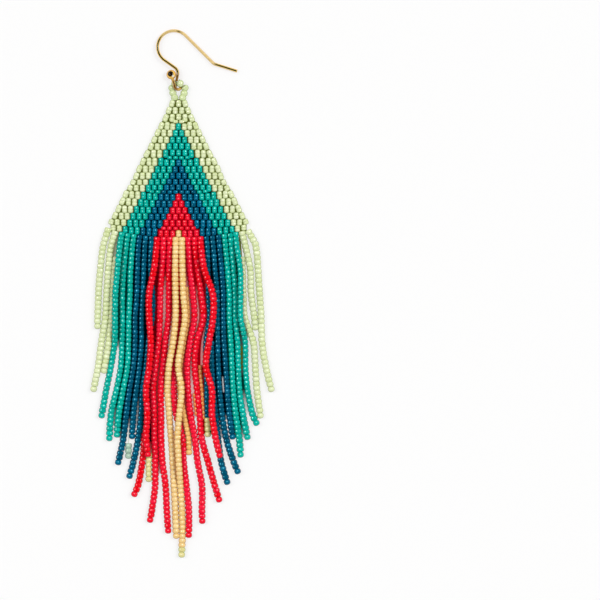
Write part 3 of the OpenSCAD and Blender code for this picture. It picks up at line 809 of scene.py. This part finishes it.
def panel():
    """The woven triangle: five nested colours, each a piece of its own. A stitch is one bead, or two whose
    flat ends meet in its middle."""
    stitches = np.concatenate([row_stitches(row) for row in range(len(ROWS))])
    for number, (node, finish) in enumerate(BANDS):
        mine = stitches[stitches[:, 6] == number]
        x, y, height, spacing, per_stitch, is_end = mine.T[:6]
        lean = (LEAN * np.maximum(height - PLAIN_STITCH_H, 0) + EDGE_LEAN * height * is_end) * np.sign(x)
        middle = np.stack((AXIS_X + x, y, np.full_like(x, STITCH_Z)), -1)
        middle[:, :2] += chance.normal(0, STITCH_SPREAD, (len(mine), 2))
        way = unit(np.stack((-lean, height, 0 * x), -1))
        way = way + chance.normal(0, STITCH_TURN_SPREAD, (len(mine), 3))
        radius = PANEL_BEAD_W / 2 * chance.uniform(STITCH_NARROWEST, 1, len(mine))
        parts = []
        two = per_stitch == 2
        for sign in (1, -1):
            centre = middle + sign * height[:, None] / 4 * way
            shape = beads(centre[two], sign * way[two], radius[two], height[two] / 4 * DOUBLE_FILL, STITCH,
                          PANEL_BEAD_H / PANEL_BEAD_W)
            parts.append((*shape, FINISHES[finish], tones_of(two.sum())))
        if not two.all():
            shape = beads(middle[~two], way[~two], radius[~two], height[~two] / 2 * SINGLE_FILL)
            parts.append((*shape, FINISHES[finish], tones_of((~two).sum())))
        # The weave behind the stitches: thread darkened by painted shade
        parts.append((*web(x, y, height, spacing, is_end), THREAD_AND_SHADE[finish], 0.0))
        build("woven_" + finish, parts, [node])


def bead_loop():
    """Eight beads on a ring of thread that passes through the wire ring."""
    ahead = np.r_[LOOP[1:], LOOP[-1:]]
    behind = np.r_[LOOP[:1], LOOP[:-1]]
    shape = beads(LOOP, ahead - behind, LOOP_BEAD_W / 2, LOOP_BEAD_HALF_L, LAST, LOOP_BEAD_H / LOOP_BEAD_W)
    thread = tube((LOOP_ENDS[0], *LOOP, LOOP_ENDS[1]), THREAD_D / 2, THREAD_SIDES)
    build("loop_beads", [
        (*shape, FINISHES["loop"], tones_of(len(LOOP))),
        (*thread, PALE_THREAD, MEAN_TONE),
    ], ["bead_loop"])


def arc(centre, radius, first, last, count):
    """Points of a flat arc at even angles from first to last, in degrees."""
    a = np.radians(np.linspace(first, last, count))
    return centre + radius * np.stack((np.cos(a), np.sin(a)), -1)


def tilted(flat, hinge, way):
    """Flat points turned by the wire's tilt about the line from hinge along way: what of a point's distance
    lies along the line stays, and the rest turns."""
    r = np.concatenate((flat - hinge[:2], np.zeros((len(flat), 1))), axis=1)
    t = np.radians(WIRE_TILT)
    return (hinge + r * np.cos(t) - np.cross(way, r) * np.sin(t)
            + way * (r @ way)[:, None] * (1 - np.cos(t)))


def ear_hook():
    """The ear wire: one smooth tube from its tail round the bend and the neck into the ring and up to the
    ball."""
    shank_a, tail_a, lean = np.radians((SHANK_A, TAIL_A, RING_LEAN))
    shank = BEND_C + BEND_R * np.array((np.sin(shank_a), np.cos(shank_a)))
    kink = shank + SHANK_L * np.array((np.cos(shank_a), -np.sin(shank_a)))
    tail = kink + TAIL_L * np.array((np.cos(tail_a), -np.sin(tail_a)))
    # The line that touches the bend on one side and the neck on the other runs at this angle
    d = NECK_C - BEND_C
    cross_a = np.degrees(np.arctan2(d[1], d[0]) + np.arcsin((BEND_R + NECK_R) / np.linalg.norm(d)))
    # The kink is rounded by an arc that touches the shank and the tail
    into = kink + KINK_R * np.tan((shank_a - tail_a) / 2) * (tail - kink) / TAIL_L
    centre = into + KINK_R * np.array((np.sin(tail_a), np.cos(tail_a)))
    flat = np.concatenate((
        np.linspace(tail, into, TAIL_POINTS)[:-1],
        arc(centre, KINK_R, -90 - TAIL_A, -90 - SHANK_A, KINK_POINTS),
        arc(BEND_C, BEND_R, 90 - SHANK_A, cross_a + 270, BEND_POINTS),
        arc(NECK_C, NECK_R, cross_a + 90, NECK_END_A, NECK_POINTS),
    ))
    # It tilts about the line from the top of the bend to the tail's end, and both stay on the table
    hinge = np.array((BEND_C[0], BEND_C[1] + BEND_R, WIRE_D / 2))
    way = unit(np.array((tail[0] - hinge[0], tail[1] - hinge[1], 0.0)))
    a = np.radians(np.linspace(*RING_A, RING_POINTS))
    ring = RING_C + RING_R * np.stack((np.cos(a) * np.cos(lean), np.sin(a), -np.cos(a) * np.sin(lean)), -1)
    path = np.concatenate((tilted(flat, hinge, way), ELBOW[None], ring, BALL_C[None]))
    # The tube repeats the path's two end points
    tone = np.interp(np.arange(len(path) + 2), *np.array(WIRE_TONES).T)
    build("ear_wire", [
        (*tube(path, WIRE_D / 2, WIRE_SIDES), GOLD, np.repeat(tone, WIRE_SIDES)),
        (*ball(BALL_C, BALL_D / 2), GOLD_BALL, 1.0),
    ], ["ear_hook"])


def lamp(name, towards, angle, strength, shows):
    """A soft light from one direction."""
    data = bpy.data.lights.new(name, "SUN")
    data.angle = np.radians(angle)
    data.energy = strength
    light = bpy.data.objects.new(name, data)
    bpy.context.collection.objects.link(light)
    light.rotation_euler = Vector(towards).to_track_quat("Z", "Y").to_euler()
    light.visible_glossy = shows


def setting():
    """The table, the room, the lamps and the camera."""
    bpy.ops.mesh.primitive_plane_add(size=TABLE_W)
    table = bpy.context.object
    table.name = "table"
    table.location.z = TABLE_Z
    table.data.materials.append(plain("table_top", TABLE_GREY, 0.9, specular=0, glow=0.7))
    room = Finish(bpy.data.worlds.new("room"))
    direction = room.node("ShaderNodeTexCoord", {}, {}).out("Generated")
    light = room.mix(room.up(direction).rise(*ROOM_RISE), ROOM_SIDES, ROOM_TOP)
    background = room.node("ShaderNodeBackground", {}, {0: light, 1: 1.0})
    room.node("ShaderNodeOutputWorld", {}, {"Surface": background})
    bpy.context.scene.world = room.owner
    for row in LAMPS:
        lamp(*row)
    camera = bpy.data.cameras.new("camera")
    camera.lens = 400
    camera.sensor_width = 36
    camera.clip_end = 20
    eye = bpy.data.objects.new("camera", camera)
    eye.location = (*VIEW_C, VIEW_W * camera.lens / camera.sensor_width)
    bpy.context.collection.objects.link(eye)
    scene = bpy.context.scene
    scene.camera = eye
    scene.view_settings.view_transform = "Standard"


for row in STRANDS:
    strand(*row)
shade()
panel()
bead_loop()
ear_hook()
setting()
